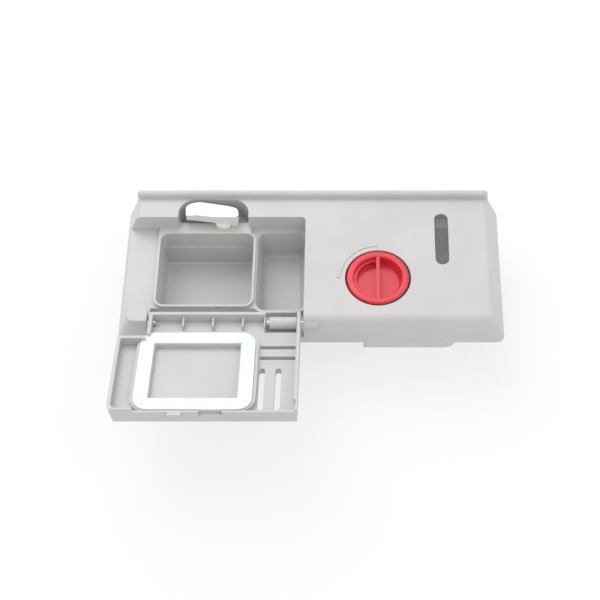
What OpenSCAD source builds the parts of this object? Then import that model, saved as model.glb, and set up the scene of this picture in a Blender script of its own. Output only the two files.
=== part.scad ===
// Dishwasher detergent and rinse-aid dispenser, lying on its back with the lid open.
// X runs along the plate, Y from the lid side to the latch side, Z out of the face.
// The origin is the centre of the plate's base, on the door panel that it is fixed to.
// Heights named z_... are measured from the plate's face and are negative going in.

/* [Plate] */
// Width of the plate at its base edge
plate_w = 250; // [238:1:262]
// Depth of the plate at its base edge
plate_d = 105.6; // [103:0.5:110]
// Height of the skirt from the base edge to the face
skirt_h = 22; // [21:0.5:25]
// How far each short side leans in from base to face
side_flare = 6.8; // [5:0.2:8]
// How far the lid side leans in from base to face
front_flare = 3.1; // [2:0.1:4]
// How far the latch side leans in from base to face
back_flare = 1.9; // [1:0.1:3]
// Wall thickness of the moulding
plate_wall = 2.4; // [2:0.1:2.8]
// Radius of the plate's corners and top edges
corner_r = 5; // [4:0.25:6]
// Height of the drip lip along the latch side
lip_h = 4.8; // [3.5:0.1:6]
// Width of the drip lip
lip_w = 5.3; // [4.6:0.1:6]
// Depth of everything behind the base edge
rear_depth = 35; // [34:0.5:40]

/* [Recess and cups] */
// Depth of the recess that the lid closes into
recess_depth = 13; // [12.5:0.25:14]
// Width of the recess from the left base edge
recess_w = 120.6; // [119:0.2:122]
// Distance from the back base edge to the recess step
step_in = 21.8; // [21:0.2:23]
// Lean of the recess walls over their height
recess_draft = 1.2; // [0.6:0.1:1.6]
// Depth of the hinge trough below the face
trough_depth = 17; // [16.4:0.2:18]
// Distance from the left base edge to the main cup's rim
cup_in = 22.4; // [20:0.2:23]
// Distance from the front base edge to the main cup's rim
cup_front_in = 20.2; // [19:0.2:21]
// Outer width of the main cup's rim
cup_w = 65; // [60:0.5:66]
// Depth front to back of the main cup's mouth
cup_d = 57.6; // [54:0.2:58]
// Height of the cup's rim above the recess floor
rim_h = 2.5; // [2:0.1:3]
// Thickness of the cup's rim
rim_t = 1.5; // [1.2:0.1:2]
// Depth of the main cup below its rim
cup_depth = 31.5; // [28:0.5:31.5]
// Depth of the fill line below the main cup's rim
fill_depth = 13.5; // [8:0.5:18]
// Depth of the pre-wash chamber below the recess floor
prewash_depth = 23; // [18:0.5:23]
// Thickness of the chamber walls
cup_t = 2; // [1.8:0.1:2.2]

/* [Latch] */
// Width of the arched latch pocket
pocket_w = 46.7; // [46:0.1:48]
// Distance from the left base edge to the latch pocket
pocket_in = 35.7; // [35:0.1:36]
// Depth of the pocket behind the recess step
pocket_d = 14.4; // [14.2:0.1:14.8]
// Radius of the pocket's two arched corners
pocket_r = 11; // [9:0.5:12]
// Depth of the pocket's inner well below the face
well_depth = 17; // [15:0.25:17.5]
// Distance from the left base edge to the latch's pivot
latch_in = 59; // [58.6:0.1:59.4]
// Distance from the recess step to the latch's pivot
latch_up = 6.5; // [6.2:0.1:6.8]
// Thickness of the latch's bar
latch_t = 6.5; // [6:0.1:7]
// Radius of the latch's shaft
shaft_r = 3; // [2.5:0.1:3.4]
// Angle that the latch turns to hold the lid
latch_swing = 5; // [3:0.5:5.5]

/* [Lid] */
// Distance from the front base edge to the hinge axis
hinge_in = 5.2; // [5:0.1:5.6]
// Depth of the hinge axis below the face
hinge_depth = 7; // [6.8:0.1:7.4]
// Angle from closed to the open place shown
open_angle = 167.5; // [150:0.5:170]
// Distance from the recess floor's left edge to the lid's left edge
lid_in = 1.2; // [1:0.1:2]
// Gap between the lid and the recess's right wall
lid_side_gap = 1.9; // [1:0.1:2.4]
// Gap between the lid's free edge and the recess step
lid_end_gap = 0.9; // [0.7:0.1:1.5]
// Depth of the lid's outer face below the plate's face when closed
lid_sunk = 1; // [0.6:0.1:1.2]
// Thickness of the lid's outer skin
lid_skin = 1.7; // [1.4:0.1:1.7]
// Thickness of the lid's inner panel
lid_floor = 3; // [2.4:0.1:3.2]
// Thickness of the lid's walls
lid_wall = 2.2; // [1.8:0.1:2.6]
// Gap between the lid's walls and what they close onto
lid_tip_gap = 0.7; // [0.5:0.1:1]
// Width of the seal's band
seal_w = 8.8; // [7.5:0.1:9]
// Radius of the seal's outer corners
seal_r = 9; // [8:0.5:12]
// Gap between the seal and the cup's rim when closed
seal_gap = 0.25; // [0.1:0.05:0.5]
// Width of each vent slot in the lid
vent_w = 3.8; // [3:0.1:4.4]
// Length of each vent slot
vent_l = 34; // [26:0.5:36]
// Radius of the hinge pins
pin_r = 2; // [1.6:0.1:2.4]

/* [Rinse aid] */
// Distance from the right base edge to the cap's centre
cap_in = 81.75; // [80:0.25:84]
// Distance from the front base edge to the cap's centre
cap_up = 35.6; // [34:0.2:37]
// Radius of the cap's flange
cap_r = 20.3; // [19:0.1:21]
// Gap round the cap's flange
cap_gap = 1.1; // [0.8:0.1:1.4]
// Inner radius of the filler neck
neck_r = 17.2; // [16.6:0.1:17.6]
// Length of the filler neck below the face
neck_l = 24; // [22:0.5:26]
// Height of the cap's rim above the face
cap_proud = 0.8; // [0.4:0.1:2]
// Depth of the cap's finger well below its rim
grip_depth = 7.3; // [6:0.1:8]
// Thickness of the cap's finger rib
grip_t = 2.2; // [1.6:0.1:3]
// Rise of the cap over its quarter turn
cap_rise = 2; // [1.5:0.1:2.4]
// Radius of the dosing dial
dial_r = 9; // [7:0.5:12]
// Distance from the right base edge to the sight window's centre
sight_in = 39.6; // [38:0.2:42]
// Distance from the back base edge to the sight window's centre
sight_down = 39.4; // [38:0.2:41]
// Width of the sight window
sight_w = 9; // [8:0.1:10]
// Length of the sight window
sight_l = 40.6; // [36:0.2:42]
// Distance from the right base edge to the tank's right wall
tank_in = 28; // [26:0.5:29]
// Distance from the recess's right wall to the tank's left wall
tank_off = 12.4; // [11.6:0.2:14]
// Distance from the front base edge to the tank's front wall
tank_up = 17; // [16:0.5:19]
// Width of the tank's shallow end, where the filler neck stands
tank_step = 26; // [22:0.5:28]
// Depth of the tank's shallow end behind the base edge
tank_shallow = 16; // [14:0.5:18]
// Wall thickness of the rinse-aid tank
tank_t = 2.2; // [1.8:0.1:2.6]
// Radius of the tank's upright corners
tank_r = 8; // [6:0.5:12]

/* [Mechanism] */
// Length of the slide bar
bar_l = 35; // [33:0.5:38]
// Width of the slide bar
bar_w = 10; // [9.5:0.25:11]
// Thickness of the slide bar, the crank and the rocker
bar_t = 3; // [2.6:0.1:3]
// Length of the actuator's case
motor_l = 32; // [28:0.5:33]
// Width of the actuator's case
motor_w = 16; // [14:0.5:18]
// Height of the actuator's case
motor_h = 14.5; // [13:0.5:15]
// Radius of the actuator's plunger
plunger_r = 1.9; // [1.6:0.1:2]
// Radius of the drive pins
drive_r = 1.8; // [1.4:0.1:2]
// Radius of the rinse valve's stem
stem_r = 2; // [1.5:0.1:2.2]
// Wire thickness of the springs
wire_d = 1; // [0.8:0.1:1.2]

/* [Fixing] */
// Distance of the fixing bosses from the short base edges
boss_in_x = 20.5; // [19.5:0.1:21]
// Distance of the fixing bosses from the long base edges
boss_in_y = 15.3; // [15:0.1:15.8]
// Outer radius of the fixing bosses
boss_r = 4.4; // [3.8:0.1:4.6]
// Radius of the screw bore in each fixing boss
screw_bore_r = 1.65; // [1.4:0.05:1.9]
// Length of the screw bore in each fixing boss
screw_bore_l = 11; // [8:0.5:11]
// Thickness of the body seal
gasket_t = 2.5; // [2:0.1:2.6]

/* [Fits] */
// Radial clearance of turning and sliding parts
run_gap = 0.06; // [0.03:0.01:0.1]
// Gap between moving parts that pass each other
pass_gap = 0.3; // [0.25:0.05:0.5]

/* [Hidden] */
$fn = 48;
hull_fn = 32;

face_z = skirt_h;
z_back = -skirt_h - rear_depth;
left_x = -plate_w / 2;
right_x = plate_w / 2;
front_y = -plate_d / 2;
back_y = plate_d / 2;
over = 1;

z_recess = -recess_depth;
z_rim = z_recess + rim_h;
z_trough = -trough_depth;
wall_x = left_x + recess_w;
step_y = back_y - step_in;
flare_rate = side_flare / skirt_h;
floor_left_x = left_x + side_flare - recess_depth * flare_rate;

cup_x0 = left_x + cup_in;
cup_x1 = cup_x0 + cup_w;
cup_y0 = front_y + cup_front_in;
cup_y1 = cup_y0 + cup_d;
z_cup = z_rim - cup_depth;
z_cup_under = z_cup - cup_t;
pre_x0 = cup_x1 + rim_t * 0.8;
pre_y0 = cup_y0 - 1.2;
pre_y1 = step_y - 4;
z_pre = z_recess - prewash_depth;
z_pre_under = z_pre - cup_t;

pocket_x0 = left_x + pocket_in;
pocket_x1 = pocket_x0 + pocket_w;
pocket_y1 = step_y + pocket_d;
z_well = -well_depth;
latch_x = left_x + latch_in;
latch_y = step_y + latch_up;

hinge_y = front_y + hinge_in;
z_hinge = -hinge_depth;
boss_x1 = cup_x0 - 1.8;
boss_y1 = front_y + 14.8;
z_boss = -2;

lid_x0 = floor_left_x + lid_in;
lid_x1 = wall_x - lid_side_gap;
lid_y0 = front_y + 0.3;
lid_y1 = step_y - lid_end_gap;
z_lid = -lid_sunk;
z_panel = z_lid - lid_skin;
z_floor = z_panel - lid_floor;
z_tip = z_recess + lid_tip_gap;
z_rim_tip = z_rim + lid_tip_gap;
z_seal = z_rim + seal_gap;
arm_x0 = boss_x1 + 1.6;
notch_y1 = front_y + 21;
lid_eye_r = z_panel - z_hinge - 0.1;
end_lean = recess_draft / recess_depth;

cap_x = right_x - cap_in;
cap_y = front_y + cap_up;
sight_x = right_x - sight_in;
sight_y = back_y - sight_down;
tank_x0 = wall_x + tank_off;
tank_x1 = right_x - tank_in;
tank_y0 = front_y + tank_up;
tank_mid = tank_x0 + tank_step;
z_shallow = -skirt_h - tank_shallow;
tank_y1 = back_y - 8.8;
z_weld = -skirt_h - 5;
z_flange = min(-skirt_h + gasket_t, z_trough - plate_wall);

z_bar = z_cup_under - 2;
z_rocker = z_bar - bar_t - pass_gap;
bar_y = latch_y - 20;
crank_r = latch_y - bar_y;
bar_travel = crank_r * latch_swing * PI / 180;
slot_x = latch_x;
rocker_x = -20;
rocker_y = bar_y - 26;
rocker_slot_x = rocker_x - 27;
rocker_end = [rocker_x + 16, rocker_y - 20];
z_plunger = z_bar - bar_t + plunger_r + 0.6;
motor_x0 = -29;
z_motor = z_bar - bar_t / 2 + motor_h / 2;
z_ear = z_pre_under - 2.4;
z_valve = z_rocker - bar_t / 2;
seat_x = tank_mid + tank_t + bar_travel * (rocker_y - rocker_end.y) / (bar_y - rocker_y) + pass_gap;

function unit(v) = v / norm(v);
function turn(v, a) = [v.x * cos(a) - v.y * sin(a), v.x * sin(a) + v.y * cos(a)];
function shortest(a) = a > 180 ? a - 360 : a < -180 ? a + 360 : a;

// Points of the arc of radius r that rounds the corner b between a and c
function corner_arc(a, b, c, r, n) =
    let (u = unit(a - b), w = unit(c - b), half = acos(u * w) / 2,
        centre = b + unit(u + w) * r / sin(half),
        s = b + u * r / tan(half) - centre,
        e = b + w * r / tan(half) - centre,
        start = atan2(s.y, s.x), sweep = shortest(atan2(e.y, e.x) - start))
    [for (k = [0:n]) centre + r * [cos(start + sweep * k / n), sin(start + sweep * k / n)]];

// Polygon p with its corners rounded to the radii in r
function rounded(p, r, n = 5) =
    [for (i = [0:len(p) - 1]) each r[i] > 0
        ? corner_arc(p[(i + len(p) - 1) % len(p)], p[i], p[(i + 1) % len(p)], r[i], n)
        : [p[i]]];

function box_points(x0, y0, x1, y1) = [[x0, y0], [x1, y0], [x1, y1], [x0, y1]];

module at_face() {
    translate([0, 0, face_z]) children();
}

// Rounded rectangle between two corners
module plan_box(x0, y0, x1, y1, r) {
    polygon(rounded(box_points(x0, y0, x1, y1), [r, r, r, r]));
}

// Outline in X and Z, swept along Y from y0 to y1
module sweep_y(y0, y1) {
    translate([0, y1, 0]) rotate([90, 0, 0]) linear_extrude(y1 - y0) children();
}

// Outline in Y and Z, swept along X from x0 to x1
module sweep_x(x0, x1) {
    translate([x0, 0, 0]) rotate([90, 0, 90]) linear_extrude(x1 - x0) children();
}

// Bar between two heights on an upright outline
module layer(z0, z1) {
    translate([0, 0, z0]) linear_extrude(z1 - z0) children();
}

// Round bar along X
module rod_x(x0, x1, y, z, r) {
    translate([x0, y, z]) rotate([0, 90, 0]) cylinder(r = r, h = x1 - x0);
}

// Drafted tray: mouth x0 to x1 and y0 to y1 at height zt, floor at zb, grown by g
module tray(x0, x1, y0, y1, zt, zb, lean, floor_r, corner, g, up) {
    intersection() {
        sweep_y(y0 - g - over, y1 + g + over)
            polygon(rounded([[x0 - g, zt], [x0 - g + lean[0], zb - g],
                [x1 + g - lean[1], zb - g], [x1 + g, zt], [x1 + g, zt + up], [x0 - g, zt + up]],
                [0, floor_r, floor_r, 0, 0, 0]));
        sweep_x(x0 - g - over, x1 + g + over)
            polygon(rounded([[y0 - g, zt], [y0 - g + lean[2], zb - g],
                [y1 + g - lean[3], zb - g], [y1 + g, zt], [y1 + g, zt + up], [y0 - g, zt + up]],
                [0, floor_r, floor_r, 0, 0, 0]));
        layer(zb - g - over, zt + up + over)
            plan_box(x0 - g, y0 - g, x1 + g, y1 + g, corner + g);
    }
}

// Tapered block with rounded corners and top edges, shrunk by g on every side
module plate_block(g, drop) {
    r = corner_r - g;
    x_low = plate_w / 2 - corner_r;
    x_top = x_low - side_flare;
    y_low = plate_d / 2 - corner_r;
    hull() {
        for (sx = [-1, 1], sy = [-1, 1]) {
            translate([sx * x_low, sy * y_low, -skirt_h - drop])
                cylinder(r = r, h = 0.5 + drop, $fn = hull_fn);
            translate([sx * x_top, sy * (y_low - (sy > 0 ? back_flare : front_flare)), -corner_r])
                sphere(r = r, $fn = hull_fn);
        }
    }
}

// Raised drip lip along the latch side
module drip_lip() {
    x_end = plate_w / 2 - side_flare - 3.2;
    y_back = back_y - back_flare;
    r = lip_w / 2;
    hull() {
        for (sx = [-1, 1]) {
            translate([sx * x_end, y_back - r + 0.2, lip_h - r + 0.4])
                sphere(r = r - 0.4, $fn = hull_fn);
            translate([sx * x_end, y_back - r, -4]) cylinder(r = r, h = 1, $fn = hull_fn);
        }
    }
}

// Space of the lid recess, grown by g
module recess_space(g) {
    intersection() {
        sweep_x(left_x - 20, wall_x + 10)
            polygon([[front_y - 20, z_recess - g], [step_y - recess_draft + g, z_recess - g],
                [step_y + g, 0], [step_y + g, 20], [front_y - 20, 20]]);
        sweep_y(front_y - 20, back_y)
            polygon([[left_x - 20, z_recess - g], [wall_x - recess_draft / 2 + g, z_recess - g],
                [wall_x + g, 0], [wall_x + g, 20], [left_x - 20, 20]]);
        layer(z_recess - g - over, 20)
            polygon(rounded(box_points(left_x - 20, front_y - 20, wall_x + g, step_y + g),
                [0, 0, 3 + g, 0]));
    }
}

// Space of the hinge trough between the two hinge posts, grown by g
module trough_space(g) {
    sweep_x(boss_x1 - g, wall_x + g)
        polygon(rounded([[front_y - 20, z_trough - g], [cup_y0 + g, z_trough - g],
            [cup_y0 + g, 20], [front_y - 20, 20]], [0, 3 + g, 0, 0]));
}

// Left hinge post, rounded on its inner corner
module hinge_post() {
    intersection() {
        plate_block(0, 0);
        layer(z_flange, z_boss)
            polygon(rounded(box_points(left_x - 5, front_y - 5, boss_x1, boss_y1), [0, 0, 3, 0]));
    }
}

module hinge_post_core() {
    layer(-skirt_h - over, z_hinge - pin_r - 2.4)
        plan_box(left_x + 5.5, front_y + 3.6, boss_x1 - 2.2, boss_y1 - 2.2, 2);
}

module arch(g) {
    polygon(rounded([[pocket_x0 - g, step_y - 3], [pocket_x1 + g, step_y - 3],
        [pocket_x1 + g, pocket_y1 + g], [pocket_x0 - g, pocket_y1 + g]],
        [0, 0, pocket_r + g, pocket_r + g], 8));
}

// Latch pocket: a shelf level with the cup's rim and a deeper well behind it
module pocket_space() {
    layer(z_rim, 20) arch(0);
    layer(z_well, 20) intersection() {
        arch(0);
        plan_box(pocket_x0, step_y + 2.6, pocket_x1, pocket_y1 + 5, 3);
    }
}

module pocket_wall() {
    layer(z_well - plate_wall, -1) difference() {
        arch(plate_wall);
        translate([pocket_x0 - 10, step_y - 10]) square([pocket_w + 20, 10]);
    }
}

// Shelf behind the main cup, level with its rim
module rim_shelf() {
    layer(z_recess - plate_wall, z_rim)
        polygon(rounded(box_points(cup_x0, cup_y1 - 4, cup_x1 - 3.4, step_y + 1), [0, 0, 3, 3]));
}

module cup_space() {
    tray(cup_x0 + rim_t, cup_x1 - rim_t, cup_y0 + rim_t, cup_y1, z_rim, z_cup,
        [1.6, 1.6, 1, 1.4], 3, 5, 0, 20);
}

module cup_outside() {
    tray(cup_x0 + rim_t, cup_x1 - rim_t, cup_y0 + rim_t, cup_y1, z_rim, z_cup,
        [1.6, 1.6, 1, 1.4], 3, 5, rim_t, 0);
}

// Thickened lower part of the back wall, whose top edge is the fill line
module fill_step() {
    z_fill = z_rim - fill_depth;
    intersection() {
        cup_space();
        layer(z_cup, z_fill)
            translate([cup_x0, cup_y1 - 2.2]) square([cup_w, 5]);
    }
}

module prewash_space() {
    tray(pre_x0, wall_x, pre_y0, pre_y1, z_recess, z_pre, [3.4, 3.6, 1.2, 3], 3, 6, 0, 12);
}

module prewash_outside() {
    tray(pre_x0, wall_x, pre_y0, pre_y1, z_recess, z_pre, [3.4, 3.6, 1.2, 3], 3, 6, cup_t, 0);
}

// Flange that carries the body seal, and the collar inside it
module seal_flange() {
    intersection() {
        plate_block(plate_wall / 2, 0);
        layer(z_flange, z_flange + 2) difference() {
            square([plate_w + 10, plate_d + 10], center = true);
            plan_box(left_x + 15, front_y + 11, right_x - 15, back_y - 10, 6);
        }
    }
    layer(z_weld, z_flange + 1) difference() {
        plan_box(left_x + 13, front_y + 9.2, right_x - 13, back_y - 8.2, 7);
        plan_box(left_x + 15, front_y + 11.2, right_x - 15, back_y - 10.2, 5);
    }
}

module tank_outline(g) {
    plan_box(tank_x0 + g, tank_y0 + g, tank_x1 - g, tank_y1 - g, tank_r - g);
}

// Wall behind the plate that the tank is welded to
module weld_wall() {
    layer(z_weld, -1) difference() {
        tank_outline(0);
        tank_outline(tank_t);
    }
}

module filler_neck() {
    translate([cap_x, cap_y, -neck_l]) cylinder(r = neck_r + 2.4, h = neck_l - 1);
    translate([cap_x, cap_y, -6]) cylinder(r = cap_r + cap_gap + 2, h = 5);
}

// Bore of the neck: cap seat, bayonet groove, its entries and the outlet round the dial
module neck_bore() {
    translate([cap_x, cap_y, 0]) {
        translate([0, 0, -2.6]) cylinder(r = cap_r + cap_gap, h = 10);
        translate([0, 0, -neck_l + 3]) cylinder(r = neck_r, h = neck_l);
        translate([0, 0, -12]) cylinder(r = neck_r + 1.3, h = 5);
        for (a = [0, 180]) rotate(a)
            translate([-4, neck_r - 2, -12]) cube([8, 3.3, 12]);
        for (a = [30, 150, 270]) rotate(a)
            translate([dial_r + 0.8, -3.5, -neck_l - over]) cube([neck_r - dial_r - 1.6, 7, 5]);
    }
}

module dial_post() {
    translate([cap_x, cap_y, -neck_l + 2]) cylinder(r = 2.5, h = 6);
}

// Raised arc beside the cap, between its two turning positions
module turn_mark() {
    translate([cap_x, cap_y, -0.5]) intersection() {
        difference() {
            cylinder(r = 26.6, h = 1);
            translate([0, 0, -over]) cylinder(r = 24.4, h = 4);
        }
        translate([-30, 0, -over]) cube([30, 30, 4]);
    }
}

// Guide for the float behind the sight window, with lips that it rides on
module float_guide() {
    w = sight_w / 2 + 2.2;
    for (s = [-1, 1]) {
        translate([sight_x + s * (w + 0.8) - 0.8, sight_y - sight_l / 2 - 3, -14.6])
            cube([1.6, sight_l + 6, 13]);
        translate([sight_x + s * (w - 0.7) - 0.9, sight_y - sight_l / 2 - 3, -14.6])
            cube([1.8, sight_l + 6, 1.2]);
    }
    for (s = [-1, 1])
        translate([sight_x - w - 1.6, sight_y + s * (sight_l / 2 + 3.8) - 0.8, -14.6])
            cube([2 * w + 3.2, 1.6, 13]);
}

module sight_opening() {
    layer(-4, 5) plan_box(sight_x - sight_w / 2, sight_y - sight_l / 2,
        sight_x + sight_w / 2, sight_y + sight_l / 2, sight_w / 2 - 0.1);
}

// Fixing bosses at the four corners of the collar
module fixing_bosses() {
    for (x = [left_x + boss_in_x, right_x - boss_in_x], y = [front_y + boss_in_y, back_y - boss_in_y])
        translate([x, y, z_weld - 4]) cylinder(r = boss_r, h = (y > 0 || x > 0 ? -1 : z_trough + 1) - z_weld + 4);
}

module fixing_bores() {
    for (x = [left_x + boss_in_x, right_x - boss_in_x], y = [front_y + boss_in_y, back_y - boss_in_y])
        translate([x, y, z_weld - 4 - over]) cylinder(r = screw_bore_r, h = screw_bore_l + over);
}

// Bearing tube for the latch's shaft
module shaft_tube() {
    translate([latch_x, latch_y, z_cup_under + 4])
        cylinder(r = shaft_r + 3, h = z_well - z_cup_under - 5);
}

// Post that the rocker turns on, with a groove for its clip
module rocker_post() {
    translate([rocker_x, rocker_y, z_rocker]) cylinder(r = 5, h = z_pre_under - z_rocker + 1);
    translate([rocker_x, rocker_y, z_rocker - bar_t - 2]) cylinder(r = 2.5, h = bar_t + 3);
}

// Hooks on the cup's underside that carry the slide bar
module bar_hooks() {
    for (x = [latch_x + 5.5, latch_x + 12.5], s = [-1, 1]) {
        translate([x - 1.5, bar_y + s * (bar_w / 2 + 1.2 + pass_gap) - 1.2, z_bar - bar_t - 1.5])
            cube([3, 2.4, z_cup_under - z_bar + bar_t + 2]);
        translate([x - 1.5, bar_y + s * (bar_w / 2 + 0.2) - 1.4, z_bar - bar_t - 1.5])
            cube([3, 2.8, 1.3]);
        translate([x - 1.5, bar_y + s * (bar_w / 2 - 1.6) - 0.8, z_bar + 0.2])
            cube([3, 1.6, z_cup_under - z_bar + 0.8]);
    }
}

// Ribs behind the main cup, as deep as the tank
module rear_ribs() {
    translate([cup_x0 + 7, cup_y0 + 6, z_back]) cube([2, cup_d - 12, z_cup_under + 1 - z_back]);
    translate([cup_x1 - 14, cup_y0 + 6, z_back]) cube([2, cup_d - 30, z_cup_under + 1 - z_back]);
    translate([cup_x0 + 8, cup_y0 + 14, z_back]) cube([cup_w - 21, 2, z_cup_under + 1 - z_back]);
}

// Bosses that the actuator's ears are screwed to
module motor_bosses() {
    translate([motor_x0 + 13, bar_y - motor_w / 2 - 5, z_ear]) cylinder(r = 3.6, h = z_pre_under - z_ear + 1);
    translate([motor_x0 + 13, bar_y + motor_w / 2 + 9.5, z_ear]) cylinder(r = 3.6, h = -z_ear - 1);
}

module motor_bores() {
    for (y = [bar_y - motor_w / 2 - 5, bar_y + motor_w / 2 + 9.5])
        translate([motor_x0 + 13, y, z_ear - over]) cylinder(r = 1.2, h = 3 + over);
}

// Right hinge boss behind the recess's right wall
module pin_boss() {
    rod_x(wall_x, wall_x + 9, hinge_y, z_hinge, pin_r + 2.3);
}

module front_moulding() {
    color("#c4c4c3") at_face() difference() {
        union() {
            difference() {
                union() {
                    difference() {
                        union() {
                            plate_block(0, 0);
                            drip_lip();
                        }
                        plate_block(plate_wall, over);
                    }
                    intersection() {
                        plate_block(0, 0);
                        union() {
                            recess_space(plate_wall);
                            trough_space(plate_wall);
                        }
                    }
                    seal_flange();
                    pin_boss();
                }
                difference() {
                    union() {
                        recess_space(0);
                        trough_space(0);
                    }
                    layer(-skirt_h - over, z_boss)
                        polygon(rounded(box_points(left_x - 5, front_y - 5, boss_x1, boss_y1),
                            [0, 0, 3, 0]));
                }
            }
            hinge_post();
            cup_outside();
            prewash_outside();
            rim_shelf();
            pocket_wall();
            weld_wall();
            filler_neck();
            float_guide();
            fixing_bosses();
            shaft_tube();
            rocker_post();
            bar_hooks();
            rear_ribs();
            motor_bosses();
            turn_mark();
        }
        cup_space();
        prewash_space();
        pocket_space();
        hinge_post_core();
        neck_bore();
        sight_opening();
        fixing_bores();
        motor_bores();
        rod_x(boss_x1 - 9, boss_x1 + 5, hinge_y, z_hinge, pin_r);
        rod_x(wall_x - 5, wall_x + 7, hinge_y, z_hinge, pin_r);
        translate([latch_x, latch_y, z_cup_under]) cylinder(r = shaft_r + run_gap, h = 40);
        translate([latch_x, latch_y, z_well - 2]) cylinder(r = shaft_r + 1.4, h = 3);
    }
    color("#c4c4c3") at_face() {
        fill_step();
        dial_post();
    }
}

module body_seal() {
    color("#3a3a3c") at_face() layer(-skirt_h - 0.1, z_flange) difference() {
        plan_box(left_x + 4.2, front_y + 3.4, right_x - 4.2, back_y - 3.2, 5);
        plan_box(left_x + 12.8, front_y + 9, right_x - 12.8, back_y - 8, 7.2);
    }
}

// Inside of the tank: a shallow end under the filler neck and a deep end
module tank_space(g) {
    layer(z_shallow + g, z_weld + over * g) tank_outline(g);
    intersection() {
        layer(z_back + g, z_weld) tank_outline(g);
        layer(z_back, z_weld) plan_box(tank_mid + g, tank_y0 - 10, tank_x1 + 10, tank_y1 + 10, 2);
    }
}

// Open-fronted tank, welded to the wall behind the plate
module rinse_tank() {
    color("#eef2ef", 0.8) at_face() difference() {
        union() {
            tank_space(0);
            rod_x(tank_mid - 1.5, tank_mid + 2, rocker_end.y, z_valve, stem_r + 2.2);
            translate([tank_x0 + 7, rocker_end.y - 3.6, z_valve - stem_r - 1.6])
                cube([2, 7.2, z_shallow - z_valve + stem_r + 2]);
        }
        tank_space(tank_t);
        rod_x(tank_x0, tank_mid + 5, rocker_end.y, z_valve, stem_r + run_gap);
    }
}

module sight_lens() {
    color("#f4f8f8", 0.5) at_face() {
        layer(-3.2, -0.5) plan_box(sight_x - sight_w / 2 + 0.1, sight_y - sight_l / 2 + 0.1,
            sight_x + sight_w / 2 - 0.1, sight_y + sight_l / 2 - 0.1, sight_w / 2 - 0.3);
        layer(-plate_wall - 1.4, -plate_wall - 0.05) plan_box(sight_x - sight_w / 2 - 1.5,
            sight_y - sight_l / 2 - 1.5, sight_x + sight_w / 2 + 1.5, sight_y + sight_l / 2 + 1.5, 4);
    }
}

module level_float() {
    color("#39474f") at_face()
        translate([sight_x, sight_y + sight_l / 2 - 5, -13.1]) linear_extrude(8.6)
            plan_box(-sight_w / 2 - 1.8, -4, sight_w / 2 + 1.8, 4, 1.5);
}

// Cap with a finger well, a grip rib, a plug that enters the neck and two lugs
module rinse_cap() {
    z_top = cap_proud;
    z_grip = z_top - grip_depth;
    color("#dd2f3c") at_face() translate([cap_x, cap_y, 0]) {
        rotate_extrude($fn = 96)
            polygon(rounded([[0, z_grip - 2], [neck_r - 2.6, z_grip - 2], [neck_r - 2.6, -13.5],
                [neck_r - 0.3, -13.5], [neck_r - 0.3, -1.7], [cap_r, -1.7], [cap_r, z_top],
                [cap_r - 4.4, z_top], [cap_r - 5.2, -4], [cap_r - 6.6, z_grip], [0, z_grip]],
                [0, 0, 0, 0.8, 0, 0.4, 1.4, 1, 0, 1, 0]));
        intersection() {
            translate([0, 0, z_grip - 0.5]) cylinder(r = cap_r - 4.2, h = grip_depth + 0.3);
            translate([-grip_t / 2, -cap_r, z_grip - 0.5]) cube([grip_t, 2 * cap_r, grip_depth + 0.3]);
        }
        intersection() {
            difference() {
                translate([0, 0, z_grip - 0.5]) cylinder(r = cap_r - 4.9, h = grip_depth - 2.2);
                translate([0, 0, z_grip - 1]) cylinder(r = cap_r - 6.2, h = 20);
            }
            translate([-20, -14, z_grip - 1]) cube([20, 40, 20]);
        }
        for (a = [0, 180]) rotate(a)
            translate([neck_r - 1.5, -3, -11.6]) cube([2.2, 6, 2]);
    }
}

module cap_seal() {
    color("#2c2c2e") at_face() translate([cap_x, cap_y, -2.5]) rotate_extrude($fn = 96)
        translate([neck_r + 0.1, 0]) square([cap_r + cap_gap - neck_r - 0.4, 0.8]);
}

// Star-shaped dial on the post at the bottom of the neck
module dosing_dial() {
    color("#e8e8e6") at_face() translate([cap_x, cap_y, -neck_l + 3.2]) difference() {
        union() {
            cylinder(r = dial_r, h = 2);
            cylinder(r = 4.6, h = 4.6);
            translate([-0.9, -dial_r + 0.8, 0]) cube([1.8, dial_r - 2, 4]);
        }
        translate([0, 0, -over]) cylinder(r = 2.5 + run_gap, h = 10);
        for (a = [0:30:330]) rotate(a) translate([dial_r + 0.4, 0, -over]) cylinder(r = 1.3, h = 5);
    }
}

// Lid parts are drawn closed and swung about the hinge axis to the place shown
module swung() {
    at_face() translate([0, hinge_y, z_hinge]) rotate([open_angle, 0, 0])
        translate([0, -hinge_y, -z_hinge]) children();
}

// Plan of the lid with the notch round the left hinge post, shrunk by g
module lid_plan(g) {
    polygon(rounded([[arm_x0 + g, lid_y0 + g], [lid_x1 - g, lid_y0 + g], [lid_x1 - g, lid_y1 - g],
        [lid_x0 + g, lid_y1 - g], [lid_x0 + g, notch_y1 + g], [arm_x0 + g, notch_y1 + g]],
        [0.8, 0.8, 1.6, max(6 - g, 1), 1, 0]));
}

// Section of the lid across its width, leaning in on the left like the plate
module lid_section(z0, z1) {
    lean = flare_rate;
    polygon([[lid_x0, z0], [lid_x1 + over, z0], [lid_x1 + over, z1],
        [lid_x0 + (z1 - z0) * lean, z1]]);
}

module vent_slots() {
    x_mid = lid_x1 - 23;
    y_mid = lid_y1 - 6 - vent_l / 2;
    for (x = [x_mid, x_mid + 10.2])
        layer(z_tip, 5) plan_box(x - vent_w / 2, y_mid - vent_l / 2, x + vent_w / 2,
            y_mid + vent_l / 2, vent_w / 2 - 0.05);
    for (y = [lid_y0 + 25, lid_y0 + 34])
        layer(z_tip, z_panel + 0.01) plan_box(lid_x1 - 25, y - 1.4, lid_x1 - 2.5, y + 1.4, 0.8);
}

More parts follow.
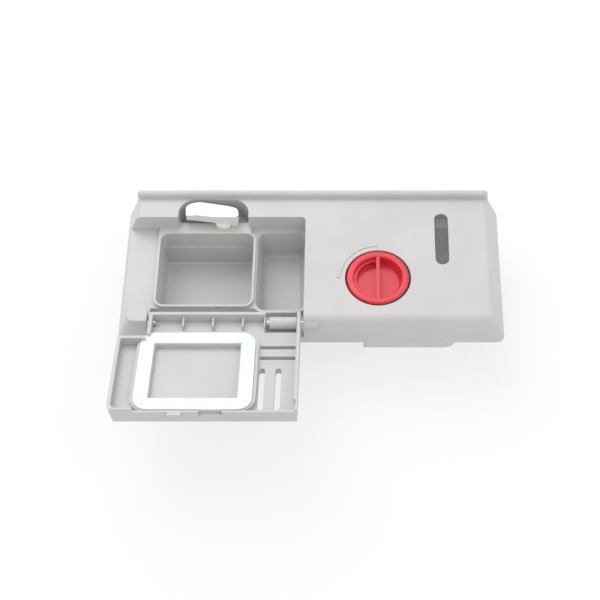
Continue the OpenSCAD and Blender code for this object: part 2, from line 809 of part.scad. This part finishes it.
// Centre line rectangle of the lid seal, over the cup's rim
seal_x0 = cup_x0 + rim_t / 2 - seal_w / 2;
seal_x1 = cup_x1 - rim_t / 2 + seal_w / 2;
seal_y0 = cup_y0 + rim_t / 2 - seal_w / 2;
seal_y1 = cup_y1 + rim_t / 2 + seal_w / 2 - 3;

module seal_ring(g) {
    difference() {
        plan_box(seal_x0 - g, seal_y0 - g, seal_x1 + g, seal_y1 + g, seal_r + g);
        plan_box(seal_x0 + seal_w + g, seal_y0 + seal_w + g, seal_x1 - seal_w - g,
            seal_y1 - seal_w - g, max(seal_r - seal_w - g, 0.6));
    }
}

// Inner panel with its walls, hinge arms, ribs and the seat for the seal
module lid_panel() {
    color("#bfbfbe") swung() difference() {
        union() {
            intersection() {
                sweep_y(lid_y0 - over, lid_y1 + over) lid_section(z_tip, z_panel);
                sweep_x(lid_x0 - over, lid_x1 + over)
                    polygon([[lid_y0, z_tip], [lid_y1 - (z_lid - z_tip) * end_lean, z_tip],
                        [lid_y1 - lid_skin * end_lean, z_panel], [lid_y0, z_panel]]);
                union() {
                    layer(z_floor, z_panel) lid_plan(0);
                    difference() {
                        layer(z_tip, z_panel) lid_plan(0);
                        layer(z_tip - over, z_floor) lid_plan(lid_wall);
                        translate([cup_x0 - 3, lid_y1 - 9, z_tip - over])
                            cube([wall_x - cup_x0, 20, z_rim_tip - z_tip + over]);
                        translate([cup_x0 - 0.8, cup_y0 - 0.8, z_tip - over])
                            cube([cup_w, cup_d, z_rim_tip - z_tip + over]);
                    }
                }
            }
            intersection() {
                layer(z_seal + 1.2, z_panel) difference() {
                    plan_box(seal_x0 - 2, seal_y0 - 2, seal_x1 + 2, seal_y1 + 1, seal_r + 2);
                    plan_box(seal_x0 + seal_w + 0.6, seal_y0 + seal_w + 0.6, seal_x1 - seal_w - 0.6,
                        seal_y1 - seal_w - 0.6, 1.5);
                }
                layer(z_tip, z_panel) lid_plan(0.4);
            }
            for (x = [lid_x0 + 39.5, lid_x0 + 58.5, lid_x0 + 77.5, lid_x0 + 91.5])
                translate([x, lid_y0 + 1, z_tip + 2.2]) cube([1, 9.4, z_floor - z_tip - 2]);
            translate([pocket_x0 + 4.9, lid_y1 - 2, z_rim + pass_gap])
                cube([8.4, 3.7, -latch_t - z_rim - 2 * pass_gap]);
            rod_x(lid_x1 - lid_wall, lid_x1, hinge_y, z_hinge, lid_eye_r);
            rod_x(arm_x0, arm_x0 + lid_wall, hinge_y, z_hinge, lid_eye_r);
        }
        layer(z_seal - over, z_seal + 3) seal_ring(0.15);
        vent_slots();
        rod_x(lid_x1 - 6, lid_x1 + 2, hinge_y, z_hinge, pin_r + run_gap);
        rod_x(arm_x0 - 2, arm_x0 + 6, hinge_y, z_hinge, pin_r + run_gap);
        translate([lid_x1 - 22.4, hinge_y - 5, z_tip - over]) cube([20.1, 12, z_panel - z_tip + over]);
        translate([latch_x + 0.4, lid_y1 - 2.7, z_tip - over]) cube([14, 6, z_rim + 3.7 - z_tip + over]);
    }
}

// Smooth outer skin of the lid
module lid_cover() {
    color("#c4c4c3") swung() difference() {
        intersection() {
            layer(z_panel, z_lid) lid_plan(0);
            sweep_y(lid_y0 - over, lid_y1 + over)
                polygon(rounded([[lid_x0 + (z_panel - z_tip) * flare_rate, z_panel],
                    [lid_x1, z_panel], [lid_x1, z_lid],
                    [lid_x0 + (z_lid - z_tip) * flare_rate, z_lid]], [0, 0, 1, 1.5]));
            sweep_x(lid_x0 - over, lid_x1 + over)
                polygon(rounded([[lid_y0, z_panel], [lid_y1 - lid_skin * end_lean, z_panel],
                    [lid_y1, z_lid], [lid_y0, z_lid]], [0, 0, 1.5, 1.5]));
        }
        vent_slots();
        translate([arm_x0 - 30, lid_y0 - over, z_panel - over])
            cube([30, notch_y1 - lid_y0 + over, 5]);
    }
}

module lid_seal() {
    color("#f2f5fa") swung() layer(z_seal, z_seal + 3) seal_ring(0);
}

// Sleeve over the right hinge pin and its spring
module hinge_sleeve() {
    color("#cfcfce") swung() difference() {
        rod_x(lid_x1 - 19.8, lid_x1 - 2.5, hinge_y, z_hinge, 4.1);
        rod_x(lid_x1 - 18.6, lid_x1, hinge_y, z_hinge, 3.3);
        rod_x(lid_x1 - 30, lid_x1, hinge_y, z_hinge, pin_r + run_gap);
    }
}

module hinge_pin_left() {
    color("#b9bcc0") at_face() rod_x(boss_x1 - 9, arm_x0 + lid_wall + 1.5, hinge_y, z_hinge, pin_r);
}

module hinge_pin_right() {
    color("#b9bcc0") at_face() rod_x(lid_x1 - 21.5, wall_x + 7, hinge_y, z_hinge, pin_r);
}

// Round wire wound along Z from the origin, as one closed tube
module coil(r, wire, pitch, turns) {
    sides = 6;
    steps = 14;
    rings = round(steps * turns);
    points = [for (i = [0:rings], j = [0:sides - 1])
        let (a = 360 * i / steps, b = 360 * j / sides, q = r + wire / 2 * cos(b))
        [q * cos(a), q * sin(a), pitch * i / steps + wire / 2 * sin(b)]];
    sides_list = [for (i = [0:rings - 1], j = [0:sides - 1])
        let (k = (j + 1) % sides)
        [i * sides + j, i * sides + k, (i + 1) * sides + k, (i + 1) * sides + j]];
    first = [[for (j = [sides - 1:-1:0]) j]];
    last = [[for (j = [0:sides - 1]) rings * sides + j]];
    polyhedron(points, concat(sides_list, first, last));
}

module lid_spring() {
    color("#a9acb0") at_face() translate([lid_x1 - 17.8, hinge_y, z_hinge]) rotate([0, 90, 0])
        coil(2.65, 0.9, 1.05, 13);
}

// White lever in the arched pocket, with its shaft through the moulding
module latch() {
    color("#f6f6f2") at_face() translate([latch_x, latch_y, 0]) {
        layer(-latch_t, 0)
            polygon(rounded([[-17.2, -2.9], [-17.2, -4.2], [0.2, -6.5], [14.6, -6.7], [17, -4.4],
                [15.8, 0.6], [10.2, 2.4], [-9.9, 6], [-16.2, 4.4], [-18.6, 1.6], [-18.4, -2.9]],
                [0, 0.6, 0.6, 1.2, 1.6, 3.5, 6, 6, 3.5, 2.4, 0.6]));
        layer(-5.1, 0) plan_box(-18.2, -5.3, -12.9, -1, 0.6);
        layer(z_rim + 0.3, -2) polygon(rounded([[0.8, -6.5], [15.2, -6.7], [16.4, -4.8], [15.4, -1],
            [2, 0]], [1, 1.6, 1.2, 1.4, 1]));
        layer(z_rim + 0.3, z_rim + 3.4) polygon(rounded([[0.8, -6], [2.6, -8.7], [5.2, -9.9],
            [8.4, -9.8], [10.6, -8.8], [10.8, -6]], [0.4, 1.5, 2.5, 2.5, 0.8, 0.2]));
        translate([0, 0, z_rocker - bar_t]) cylinder(r = shaft_r, h = -z_rocker + bar_t - 1);
    }
}

module shaft_ring() {
    color("#2c2c2e") at_face() translate([latch_x, latch_y, z_well - 0.9]) rotate_extrude()
        translate([shaft_r + 0.7, 0]) circle(r = 0.65);
}

// Crank on the shaft's rear end, with a drive pin in the slide bar
module latch_crank() {
    color("#e6e6e2") at_face() translate([latch_x, latch_y, z_rocker - bar_t]) difference() {
        union() {
            cylinder(r = shaft_r + 2.6, h = bar_t);
            translate([-2.5, -crank_r, 0]) cube([5, crank_r, bar_t]);
            translate([0, -crank_r, 0]) cylinder(r = 2.8, h = bar_t);
            translate([0, -crank_r, 0]) cylinder(r = drive_r, h = bar_t + pass_gap + bar_t);
        }
        translate([0, 0, -over]) cylinder(r = shaft_r, h = bar_t + 2 * over);
    }
}

module latch_spring() {
    color("#a9acb0") at_face()
        translate([latch_x, latch_y, z_cup_under - 0.6]) coil(shaft_r + 1.2, wire_d, wire_d * 1.05, 2.6);
}

// Flat bar that the plunger moves, slotted for the crank and the rocker
module slide_bar() {
    bar_x0 = latch_x - 5;
    color("#e6e6e2") at_face() difference() {
        union() {
            layer(z_bar - bar_t, z_bar) plan_box(bar_x0, bar_y - bar_w / 2, bar_x0 + bar_l,
                bar_y + bar_w / 2, 1.5);
            translate([bar_x0 + bar_l - 9, bar_y - 3.4, z_bar - bar_t]) cube([9, 6.8, bar_t + 1.8]);
        }
        for (s = [[slot_x, 0.4], [rocker_slot_x, bar_travel * 1.1]])
            layer(z_bar - bar_t - over, z_bar + over) plan_box(s.x - drive_r - 0.2,
                bar_y - drive_r - 0.5, s.x + drive_r + 0.2, bar_y + drive_r + 0.3 + s.y, drive_r);
        rod_x(bar_x0 + bar_l - 6, bar_x0 + bar_l + 5, bar_y, z_plunger, plunger_r);
    }
}

module actuator_plunger() {
    color("#b9bcc0") at_face()
        rod_x(latch_x + bar_l - 11, motor_x0 + 6, bar_y, z_plunger, plunger_r);
}

// Closed case of the thermal actuator, with a nose, two ears and a socket
module actuator_case() {
    y0 = bar_y - motor_w / 2;
    y1 = bar_y + motor_w / 2;
    color("#3c4a5c") at_face() difference() {
        union() {
            sweep_x(motor_x0, motor_x0 + motor_l)
                polygon(rounded(box_points(y0, z_motor - motor_h, y1, z_motor), [2, 2, 2, 2]));
            layer(z_ear - 2, z_ear) plan_box(motor_x0 + 9, y0 - 9, motor_x0 + 17, y1 + 13.5, 2);
            rod_x(motor_x0 - 1.4, motor_x0 + 1, bar_y, z_plunger, plunger_r + 2.2);
        }
        rod_x(motor_x0 - 5, motor_x0 + 9, bar_y, z_plunger, plunger_r + run_gap);
        for (y = [y0 - 5, y1 + 9.5])
            translate([motor_x0 + 13, y, z_ear - 3]) cylinder(r = 1.7, h = 4);
        for (y = [y0 + 4.5, y1 - 4.5])
            translate([motor_x0 + motor_l - 3, y - 1.7, z_motor - 8.5]) cube([5, 3.4, 1.1]);
    }
}

module actuator_terminals() {
    color("#c8b27a") at_face()
        for (y = [bar_y - motor_w / 2 + 4.5, bar_y + motor_w / 2 - 4.5])
            translate([motor_x0 + motor_l - 2.9, y - 1.6, z_motor - 8.35]) cube([6.4, 3.2, 0.8]);
}

module actuator_screws() {
    color("#b9bcc0") at_face()
        for (y = [bar_y - motor_w / 2 - 5, bar_y + motor_w / 2 + 9.5])
            translate([motor_x0 + 13, y, 0]) {
                translate([0, 0, z_ear - 3.6]) cylinder(r = 3, h = 1.6);
                translate([0, 0, z_ear - 2.5]) cylinder(r = 1.2, h = 5);
            }
}

// Two-armed rocker from the slide bar to the rinse valve
module rocker() {
    top = [rocker_slot_x - rocker_x, bar_y - rocker_y];
    low = rocker_end - [rocker_x, rocker_y];
    color("#e6e6e2") at_face() translate([rocker_x, rocker_y, z_rocker - bar_t]) difference() {
        union() {
            cylinder(r = 5.6, h = bar_t - 0.1);
            for (p = [top, low]) {
                rotate(atan2(p.y, p.x)) translate([0, -2.4, 0]) cube([norm(p), 4.8, bar_t - 0.1]);
                translate([p.x, p.y, 0]) cylinder(r = 2.7, h = bar_t - 0.1);
            }
            translate([top.x, top.y, 0]) cylinder(r = drive_r, h = bar_t + pass_gap + bar_t);
        }
        translate([0, 0, -over]) cylinder(r = 2.5 + run_gap, h = bar_t + 5);
    }
}

// Push-on clip that keeps the rocker on its post
module rocker_clip() {
    color("#b9bcc0") at_face() translate([rocker_x, rocker_y, z_rocker - bar_t - 1]) difference() {
        cylinder(r = 4.6, h = 0.8);
        translate([0, 0, -over]) cylinder(r = 2.5, h = 5);
    }
}

// Stem with a head that the rocker presses and a rod through the tank wall
module valve_stem() {
    head_x = rocker_end.x + 2.7 + pass_gap;
    color("#e6e6e2") at_face() {
        rod_x(head_x, head_x + 1.6, rocker_end.y, z_valve, 3.6);
        rod_x(head_x + 1, seat_x + 3.6, rocker_end.y, z_valve, stem_r);
    }
}

module valve_seal() {
    color("#2c2c2e") at_face() difference() {
        rod_x(seat_x, seat_x + 2.4, rocker_end.y, z_valve, stem_r + 1.5);
        rod_x(seat_x - over, seat_x + 5, rocker_end.y, z_valve, stem_r);
    }
}

module valve_spring() {
    head_x = rocker_end.x + 2.7 + pass_gap + 1.6;
    length = 9;
    color("#a9acb0") at_face() translate([head_x + 0.5, rocker_end.y, z_valve]) rotate([0, 90, 0])
        coil(stem_r + 0.9, 0.7, (length - 1) / 3, 3);
}

front_moulding();
body_seal();
rinse_tank();
sight_lens();
level_float();
rinse_cap();
cap_seal();
dosing_dial();
lid_panel();
lid_cover();
lid_seal();
hinge_sleeve();
hinge_pin_left();
hinge_pin_right();
lid_spring();
latch();
shaft_ring();
latch_crank();
latch_spring();
slide_bar();
actuator_plunger();
actuator_case();
actuator_terminals();
actuator_screws();
rocker();
rocker_clip();
valve_stem();
valve_seal();
valve_spring();
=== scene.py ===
import bpy
import math
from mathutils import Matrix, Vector


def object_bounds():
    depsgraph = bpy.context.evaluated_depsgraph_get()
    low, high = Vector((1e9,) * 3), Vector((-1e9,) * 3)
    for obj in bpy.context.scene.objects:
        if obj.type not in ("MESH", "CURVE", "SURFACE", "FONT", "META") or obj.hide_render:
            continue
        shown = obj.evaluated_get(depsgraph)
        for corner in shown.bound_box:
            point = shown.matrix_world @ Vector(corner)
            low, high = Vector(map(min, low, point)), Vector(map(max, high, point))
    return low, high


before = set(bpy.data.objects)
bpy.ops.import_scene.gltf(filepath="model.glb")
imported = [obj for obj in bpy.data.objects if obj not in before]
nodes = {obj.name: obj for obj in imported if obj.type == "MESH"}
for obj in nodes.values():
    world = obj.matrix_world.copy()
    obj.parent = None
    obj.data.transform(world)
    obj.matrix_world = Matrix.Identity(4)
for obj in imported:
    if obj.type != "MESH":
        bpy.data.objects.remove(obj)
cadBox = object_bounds()
mm = 0.001


# sRGB hex to the linear colour that a shader socket wants
def colour(hexCode):
    parts = [int(hexCode[i:i + 2], 16) / 255 for i in (1, 3, 5)]
    return [c / 12.92 if c <= 0.04045 else ((c + 0.055) / 1.055) ** 2.4 for c in parts] + [1.0]


def addNode(tree, kind, settings=None, links=None):
    node = tree.nodes.new(kind)
    for key, value in (settings or {}).items():
        if isinstance(key, int) or key in node.inputs:
            node.inputs[key].default_value = value
        else:
            setattr(node, key, value)
    for key, source in (links or {}).items():
        tree.links.new(source, node.inputs[key])
    return node


def newMaterial(name):
    material = bpy.data.materials.new(name)
    material.use_nodes = True
    tree = material.node_tree
    tree.nodes.clear()
    output = addNode(tree, "ShaderNodeOutputMaterial")
    return material, tree, output


# The camera was fitted to the plate's edges; focal length and axis are in pixels of a 600 wide picture
camera = {
    "elevation": 57.5, "distance": 912 * mm, "aim": (29.4 * mm, -34.4 * mm, 22 * mm),
    "focalPixels": 1425, "opticalAxisX": 356.6, "imageWidth": 600, "sensorWidth": 36, "clipEnd": 20,
}

cameraData = bpy.data.cameras.new("studioCamera")
cameraData.sensor_width = camera["sensorWidth"]
cameraData.lens = camera["focalPixels"] / camera["imageWidth"] * camera["sensorWidth"]
cameraData.shift_x = 0.5 - camera["opticalAxisX"] / camera["imageWidth"]
cameraData.clip_end = camera["clipEnd"]
cameraObject = bpy.data.objects.new("studioCamera", cameraData)
bpy.context.scene.collection.objects.link(cameraObject)
lift = math.radians(camera["elevation"])
backAndUp = Vector((0, -math.cos(lift), math.sin(lift)))
cameraObject.location = Vector(camera["aim"]) + camera["distance"] * backAndUp
cameraObject.rotation_euler = (math.pi / 2 - lift, 0, 0)
bpy.context.scene.camera = cameraObject
print("camera placed")


studio = {
    "skyStrength": 0.81, "skyColour": "#FFFFFF",
    "keyPower": 9.0, "keySize": 1.1, "keyPlace": (-0.45, 0.75, 1.1),
    "fillPower": 3.0, "fillSize": 1.4, "fillPlace": (0.9, -0.5, 1.0),
    "floorColour": "#F4F4F5", "floorGlow": 0.72, "floorSize": 6.0,
}


# Square softbox that faces the object
def addSoftbox(name, place, size, power):
    data = bpy.data.lights.new(name, "AREA")
    data.shape = "SQUARE"
    data.size = size
    data.energy = power
    lamp = bpy.data.objects.new(name, data)
    lamp.location = place
    lamp.rotation_euler = (-Vector(place)).to_track_quat("-Z", "Y").to_euler()
    bpy.context.scene.collection.objects.link(lamp)


addSoftbox("softboxBehind", studio["keyPlace"], studio["keySize"], studio["keyPower"])
addSoftbox("softboxRight", studio["fillPlace"], studio["fillSize"], studio["fillPower"])

# Even sky light, seen as plain white by the camera and through clear plastic
world = bpy.data.worlds.new("whiteStudio")
world.use_nodes = True
bpy.context.scene.world = world
sky = world.node_tree
sky.nodes.clear()
rays = addNode(sky, "ShaderNodeLightPath")
seenDirectly = addNode(sky, "ShaderNodeMath", {"operation": "MAXIMUM"},
                       {0: rays.outputs["Is Camera Ray"], 1: rays.outputs["Is Transmission Ray"]})
light = addNode(sky, "ShaderNodeBackground",
                {"Color": colour(studio["skyColour"]), "Strength": studio["skyStrength"]})
white = addNode(sky, "ShaderNodeBackground", {"Color": colour(studio["skyColour"]), "Strength": 1.0})
skyMix = addNode(sky, "ShaderNodeMixShader", {},
                 {0: seenDirectly.outputs[0], 1: light.outputs[0], 2: white.outputs[0]})
addNode(sky, "ShaderNodeOutputWorld", {}, {"Surface": skyMix.outputs[0]})

# Flat sheet of matt white paper, lit a little from within for the camera so that it reads as white
paper, tree, output = newMaterial("mattWhitePaper")
paperRays = addNode(tree, "ShaderNodeLightPath")
glow = addNode(tree, "ShaderNodeMath", {"operation": "MULTIPLY", 1: studio["floorGlow"]},
               {0: paperRays.outputs["Is Camera Ray"]})
sheetShader = addNode(tree, "ShaderNodeBsdfDiffuse", {"Color": colour(studio["floorColour"])})
glowShader = addNode(tree, "ShaderNodeEmission", {"Color": colour(studio["skyColour"]), "Strength": 1.0})
paperMix = addNode(tree, "ShaderNodeMixShader", {},
                   {0: glow.outputs[0], 1: sheetShader.outputs[0], 2: glowShader.outputs[0]})
tree.links.new(paperMix.outputs[0], output.inputs["Surface"])

half = studio["floorSize"] / 2
floorZ = cadBox[0][2]
floorCorners = [(x * half, y * half, floorZ) for x, y in ((-1, -1), (1, -1), (1, 1), (-1, 1))]
floorMesh = bpy.data.meshes.new("paperFloor")
floorMesh.from_pydata(floorCorners, [], [(0, 1, 2, 3)])
floorMesh.materials.append(paper)
paperFloor = bpy.data.objects.new("paperFloor", floorMesh)
bpy.context.scene.collection.objects.link(paperFloor)
print("light and floor placed")


# How the melt leaves its colour drift, skin grain and depth of light in any moulded plastic
melt = {
    "driftDetail": 3.0, "driftRoughness": 0.55, "darkUpTo": 0.3, "lightFrom": 0.7,
    "grainDetail": 2.0, "grainRoughness": 0.6,
    "polishBelow": 0.04, "polishAbove": 0.05, "lightDepthMm": 1.2,
}


# Height of a fine moulded grain, as a bump normal
def grainBump(tree, grainMm, depthMm, coords):
    noise = addNode(tree, "ShaderNodeTexNoise",
                    {"Scale": 1 / (grainMm * mm), "Detail": melt["grainDetail"],
                     "Roughness": melt["grainRoughness"]},
                    {"Vector": coords.outputs["Object"]})
    return addNode(tree, "ShaderNodeBump", {"Strength": 1.0, "Distance": depthMm * mm},
                   {"Height": noise.outputs["Fac"]})


# Injection-moulded plastic: colour drifts a little with the flow of the melt, and the skin has a fine grain
def mouldedPlastic(name, look):
    material, tree, output = newMaterial(name)
    coords = addNode(tree, "ShaderNodeTexCoord")
    drift = addNode(tree, "ShaderNodeTexNoise",
                    {"Scale": 1 / (look["patchMm"] * mm), "Detail": melt["driftDetail"],
                     "Roughness": melt["driftRoughness"]},
                    {"Vector": coords.outputs["Object"]})
    tones = addNode(tree, "ShaderNodeValToRGB", {}, {"Fac": drift.outputs["Fac"]})
    darkStop, lightStop = tones.color_ramp.elements
    darkStop.position = melt["darkUpTo"]
    darkStop.color = colour(look["toneDark"])
    lightStop.position = melt["lightFrom"]
    lightStop.color = colour(look["tone"])
    polish = addNode(tree, "ShaderNodeMapRange",
                     {"To Min": look["roughness"] - melt["polishBelow"],
                      "To Max": look["roughness"] + melt["polishAbove"]},
                     {"Value": drift.outputs["Fac"]})
    bump = grainBump(tree, look["grainMm"], look["depthMm"], coords)
    shader = addNode(tree, "ShaderNodeBsdfPrincipled",
                     {"IOR": look.get("ior", 1.49), "Subsurface Weight": look.get("subsurface", 0.0),
                      "Subsurface Scale": melt["lightDepthMm"] * mm},
                     {"Base Color": tones.outputs["Color"], "Roughness": polish.outputs["Result"],
                      "Normal": bump.outputs["Normal"]})
    tree.links.new(shader.outputs[0], output.inputs["Surface"])
    return material


# Talc-filled polypropylene, moulded: an even light grey with a soft satin sheen
mouldedPolypropylene = mouldedPlastic("mouldedGreyPolypropylene", {
    "tone": "#C9C8C6", "toneDark": "#C2C1C0", "patchMm": 35,
    "grainMm": 0.7, "depthMm": 0.012, "roughness": 0.42})
# Acetal, moulded: slightly warm white, a little glossier than the plate
mouldedAcetal = mouldedPlastic("mouldedWhiteAcetal", {
    "tone": "#F1F0EC", "toneDark": "#EAE9E4", "patchMm": 12,
    "grainMm": 0.8, "depthMm": 0.006, "roughness": 0.32, "subsurface": 0.15})
# Silicone rubber, moulded: cool white and quite matt, light sinks in a little
mouldedSilicone = mouldedPlastic("mouldedWhiteSilicone", {
    "tone": "#EEF3FA", "toneDark": "#E3E9F2", "patchMm": 14,
    "grainMm": 0.6, "depthMm": 0.015, "roughness": 0.5, "subsurface": 0.3, "ior": 1.41})
# Black rubber, moulded: nearly black and matt
mouldedRubber = mouldedPlastic("mouldedBlackRubber", {
    "tone": "#26262A", "toneDark": "#1C1C20", "patchMm": 10,
    "grainMm": 0.6, "depthMm": 0.02, "roughness": 0.65})
# Natural polypropylene, moulded tank: milky, light sinks into its wall
naturalPolypropylene = mouldedPlastic("mouldedNaturalPolypropylene", {
    "tone": "#E9EEEA", "toneDark": "#DFE6E2", "patchMm": 25,
    "grainMm": 1.0, "depthMm": 0.01, "roughness": 0.35, "subsurface": 0.5})
# Glass-filled nylon, moulded: dark blue-grey, dull
mouldedNylon = mouldedPlastic("mouldedDarkNylon", {
    "tone": "#3A4453", "toneDark": "#323B48", "patchMm": 10,
    "grainMm": 0.5, "depthMm": 0.02, "roughness": 0.5})
# Polypropylene float, moulded: dark grey-blue
mouldedFloat = mouldedPlastic("mouldedDarkPolypropylene", {
    "tone": "#3E4C55", "toneDark": "#35424B", "patchMm": 8,
    "grainMm": 0.7, "depthMm": 0.01, "roughness": 0.45})
# Red polypropylene, moulded: glossy, with light bleeding through its thin rim
redPolypropylene = mouldedPlastic("mouldedRedPolypropylene", {
    "tone": "#E03A48", "toneDark": "#D22E3D", "patchMm": 16,
    "grainMm": 0.9, "depthMm": 0.008, "roughness": 0.24, "subsurface": 0.35})


# Fine lines that drawing or rolling leaves, drawn out along X
metalLines = {
    "lineMm": 0.3, "stretch": (0.1, 1, 1), "detail": 2.0, "depthMm": 0.004,
    "polishBelow": 0.06, "polishAbove": 0.08,
}


def linedMetal(name, tone, roughness):
    material, tree, output = newMaterial(name)
    coords = addNode(tree, "ShaderNodeTexCoord")
    place = addNode(tree, "ShaderNodeMapping", {"Scale": metalLines["stretch"]},
                    {"Vector": coords.outputs["Object"]})
    lines = addNode(tree, "ShaderNodeTexNoise",
                    {"Scale": 1 / (metalLines["lineMm"] * mm), "Detail": metalLines["detail"]},
                    {"Vector": place.outputs["Vector"]})
    polish = addNode(tree, "ShaderNodeMapRange",
                     {"To Min": roughness - metalLines["polishBelow"],
                      "To Max": roughness + metalLines["polishAbove"]},
                     {"Value": lines.outputs["Fac"]})
    bump = addNode(tree, "ShaderNodeBump", {"Strength": 1.0, "Distance": metalLines["depthMm"] * mm},
                   {"Height": lines.outputs["Fac"]})
    shader = addNode(tree, "ShaderNodeBsdfPrincipled", {"Base Color": colour(tone), "Metallic": 1.0},
                     {"Roughness": polish.outputs["Result"], "Normal": bump.outputs["Normal"]})
    tree.links.new(shader.outputs[0], output.inputs["Surface"])
    return material


# Stainless steel, drawn: bright grey with faint lines along the pin or wire
drawnSteel = linedMetal("drawnStainlessSteel", "#C6C8CB", 0.3)
# Tinned brass strip, rolled: dull yellow with faint lines
rolledBrass = linedMetal("rolledTinnedBrass", "#C9B98A", 0.34)

# Clear plastic window, moulded: thin and polished, faintly wavy
windowLook = {"tone": "#F2F6F7", "waveMm": 6.0, "waveDepthMm": 0.01, "roughness": 0.08, "ior": 1.2,
              "clearness": 0.9}
clearPolycarbonate, tree, output = newMaterial("mouldedClearPolycarbonate")
coords = addNode(tree, "ShaderNodeTexCoord")
bump = grainBump(tree, windowLook["waveMm"], windowLook["waveDepthMm"], coords)
shader = addNode(tree, "ShaderNodeBsdfPrincipled",
                 {"Base Color": colour(windowLook["tone"]), "Roughness": windowLook["roughness"],
                  "IOR": windowLook["ior"], "Transmission Weight": windowLook["clearness"]},
                 {"Normal": bump.outputs["Normal"]})
tree.links.new(shader.outputs[0], output.inputs["Surface"])


def dress(material, *names):
    for name in names:
        mesh = nodes[name].data
        mesh.materials.clear()
        mesh.materials.append(material)


dress(mouldedPolypropylene, "front_moulding", "lid_panel", "lid_cover", "hinge_sleeve")
dress(mouldedAcetal, "latch", "latch_crank", "slide_bar", "rocker", "valve_stem", "dosing_dial")
dress(mouldedSilicone, "lid_seal")
dress(mouldedRubber, "body_seal", "cap_seal", "shaft_ring", "valve_seal")
dress(naturalPolypropylene, "rinse_tank")
dress(mouldedNylon, "actuator_case")
dress(mouldedFloat, "level_float")
dress(redPolypropylene, "rinse_cap")
dress(drawnSteel, "hinge_pin_left", "hinge_pin_right", "lid_spring", "latch_spring", "actuator_plunger",
      "actuator_screws", "rocker_clip", "valve_spring")
dress(rolledBrass, "actuator_terminals")
dress(clearPolycarbonate, "sight_lens")
print("materials made")


bpy.context.scene.view_settings.view_transform = "Standard"
